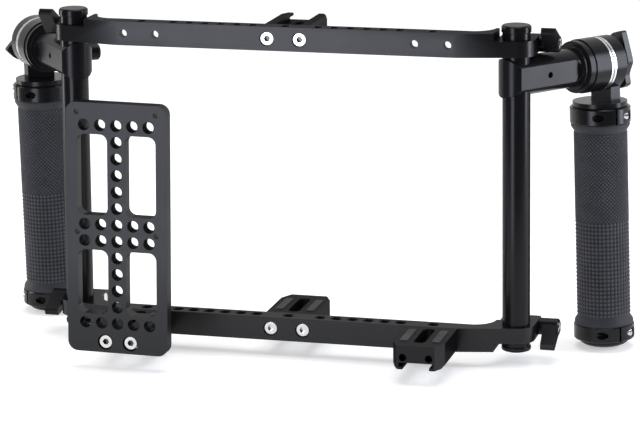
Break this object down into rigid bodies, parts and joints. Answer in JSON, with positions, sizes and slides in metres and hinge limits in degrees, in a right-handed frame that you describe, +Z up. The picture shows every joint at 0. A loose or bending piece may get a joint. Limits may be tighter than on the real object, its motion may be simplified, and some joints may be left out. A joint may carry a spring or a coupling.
{
  "type": "monitor cage",
  "caption": "Cage for a small field monitor: clamp bars on rods, padded shoe blocks, a cheese plate, and handles that tilt on toothed joints.",
  "frame": {"origin": "centre of the middle accessory hole of the bottom bar, at the bar's underside", "axes": "+X to the right as seen from the cheese plate's side, +Y back towards the monitor and the handles, +Z up along the rods"},
  "size_m": [0.3666, 0.1314, 0.1849],
  "materials": {
    "bar_black": "black anodised, fine satin",
    "plate_black": "black anodised, fine satin",
    "block_black": "black anodised, fine satin",
    "rod_black": "black anodised, turned",
    "arm_black": "black anodised, glossy satin",
    "lock_black": "black anodised, glossy satin",
    "lever_black": "black, satin",
    "knob_black": "black anodised, satin",
    "bright_steel": "bright",
    "tooth_steel": "bright, cut teeth",
    "grip_rubber": "moulded, studded",
    "pad_rubber": "smooth"
  },
  "bodies": {
    "bottom_frame": {"bottom_bar": "bar_black", "cheese_plate": "plate_black", "plate_screws": "bright_steel", "front_left_block": "block_black", "front_right_block": "block_black", "bottom_rear_block": "block_black", "bottom_pads": "pad_rubber", "bottom_bar_screws": "bright_steel", "bottom_clamp_studs": "bright_steel"},
    "upper_frame": {"top_bar": "bar_black", "left_rod": "rod_black", "right_rod": "rod_black", "top_caps": "rod_black", "bottom_caps": "rod_black", "top_rear_block": "block_black", "top_pads": "pad_rubber", "top_bar_screws": "bright_steel", "top_clamp_studs": "bright_steel"},
    "top_left_lever": {"top_left_lever": "lever_black", "top_left_lever_screw": "bright_steel"},
    "top_right_lever": {"top_right_lever": "lever_black", "top_right_lever_screw": "bright_steel"},
    "bottom_left_lever": {"bottom_left_lever": "lever_black", "bottom_left_lever_screw": "bright_steel"},
    "bottom_right_lever": {"bottom_right_lever": "lever_black", "bottom_right_lever_screw": "bright_steel"},
    "left_arm_lever": {"left_arm_lever": "lever_black", "left_arm_lever_screw": "bright_steel"},
    "right_arm_lever": {"right_arm_lever": "lever_black", "right_arm_lever_screw": "bright_steel"},
    "left_arm": {"left_arm": "arm_black", "left_arm_teeth": "tooth_steel", "left_arm_stud": "bright_steel"},
    "left_handle": {"left_yoke": "arm_black", "left_handle_teeth": "tooth_steel", "left_core": "arm_black", "left_grip": "grip_rubber", "left_upper_lock": "lock_black", "left_lower_lock": "lock_black", "left_lock_screws": "bright_steel", "left_end_cap": "lock_black"},
    "left_knob": {"left_knob": "knob_black", "left_knob_bolt": "bright_steel"},
    "right_arm": {"right_arm": "arm_black", "right_arm_teeth": "tooth_steel", "right_arm_stud": "bright_steel"},
    "right_handle": {"right_yoke": "arm_black", "right_handle_teeth": "tooth_steel", "right_core": "arm_black", "right_grip": "grip_rubber", "right_upper_lock": "lock_black", "right_lower_lock": "lock_black", "right_lock_screws": "bright_steel", "right_end_cap": "lock_black"},
    "right_knob": {"right_knob": "knob_black", "right_knob_bolt": "bright_steel"}
  },
  "joints": [
    {"name": "frame_slide", "type": "slide", "parent": "bottom_frame", "child": "upper_frame", "axis": [0, 0, 1], "range_m": [-0.11, 0.0028]},
    {"name": "left_arm_swing", "type": "hinge", "parent": "upper_frame", "child": "left_arm", "pos_m": [-0.124, 0.011, 0.1483], "axis": [0, 0, 1], "range_deg": [-59, 111]},
    {"name": "left_handle_tilt", "type": "hinge", "parent": "left_arm", "child": "left_handle", "pos_m": [-0.1613, 0.05706, 0.1483], "axis": [-0.6293, 0.7771, 0], "continuous": true},
    {"name": "left_knob_spin", "type": "hinge", "parent": "left_arm", "child": "left_knob", "pos_m": [-0.16931, 0.06696, 0.1483], "axis": [-0.6293, 0.7771, 0], "continuous": true},
    {"name": "left_arm_lever_turn", "type": "hinge", "parent": "left_arm", "child": "left_arm_lever", "pos_m": [-0.1235, 0.03263, 0.1483], "axis": [0.7771, 0.6293, 0], "range_deg": [-100, 45]},
    {"name": "right_arm_swing", "type": "hinge", "parent": "upper_frame", "child": "right_arm", "pos_m": [0.124, 0.011, 0.1483], "axis": [0, 0, 1], "range_deg": [-112.5, 57.5]},
    {"name": "right_handle_tilt", "type": "hinge", "parent": "right_arm", "child": "right_handle", "pos_m": [0.16008, 0.05802, 0.1483], "axis": [0.6088, 0.7934, 0], "continuous": true},
    {"name": "right_knob_spin", "type": "hinge", "parent": "right_arm", "child": "right_knob", "pos_m": [0.16783, 0.06812, 0.1483], "axis": [0.6088, 0.7934, 0], "continuous": true},
    {"name": "right_arm_lever_turn", "type": "hinge", "parent": "right_arm", "child": "right_arm_lever", "pos_m": [0.12294, 0.03261, 0.1483], "axis": [-0.7934, 0.6088, 0], "range_deg": [-45, 100]},
    {"name": "top_left_lever_turn", "type": "hinge", "parent": "upper_frame", "child": "top_left_lever", "pos_m": [-0.1395, 0.0245, 0.16425], "axis": [1, 0, 0], "range_deg": [-86, 39]},
    {"name": "top_right_lever_turn", "type": "hinge", "parent": "upper_frame", "child": "top_right_lever", "pos_m": [0.1395, 0.0245, 0.16425], "axis": [1, 0, 0], "range_deg": [-90, 35]},
    {"name": "bottom_left_lever_turn", "type": "hinge", "parent": "bottom_frame", "child": "bottom_left_lever", "pos_m": [-0.1395, 0.0245, 0.00875], "axis": [1, 0, 0], "range_deg": [-109, 61]},
    {"name": "bottom_right_lever_turn", "type": "hinge", "parent": "bottom_frame", "child": "bottom_right_lever", "pos_m": [0.1395, 0.0245, 0.00875], "axis": [1, 0, 0], "range_deg": [-122, 48]}
  ]
}
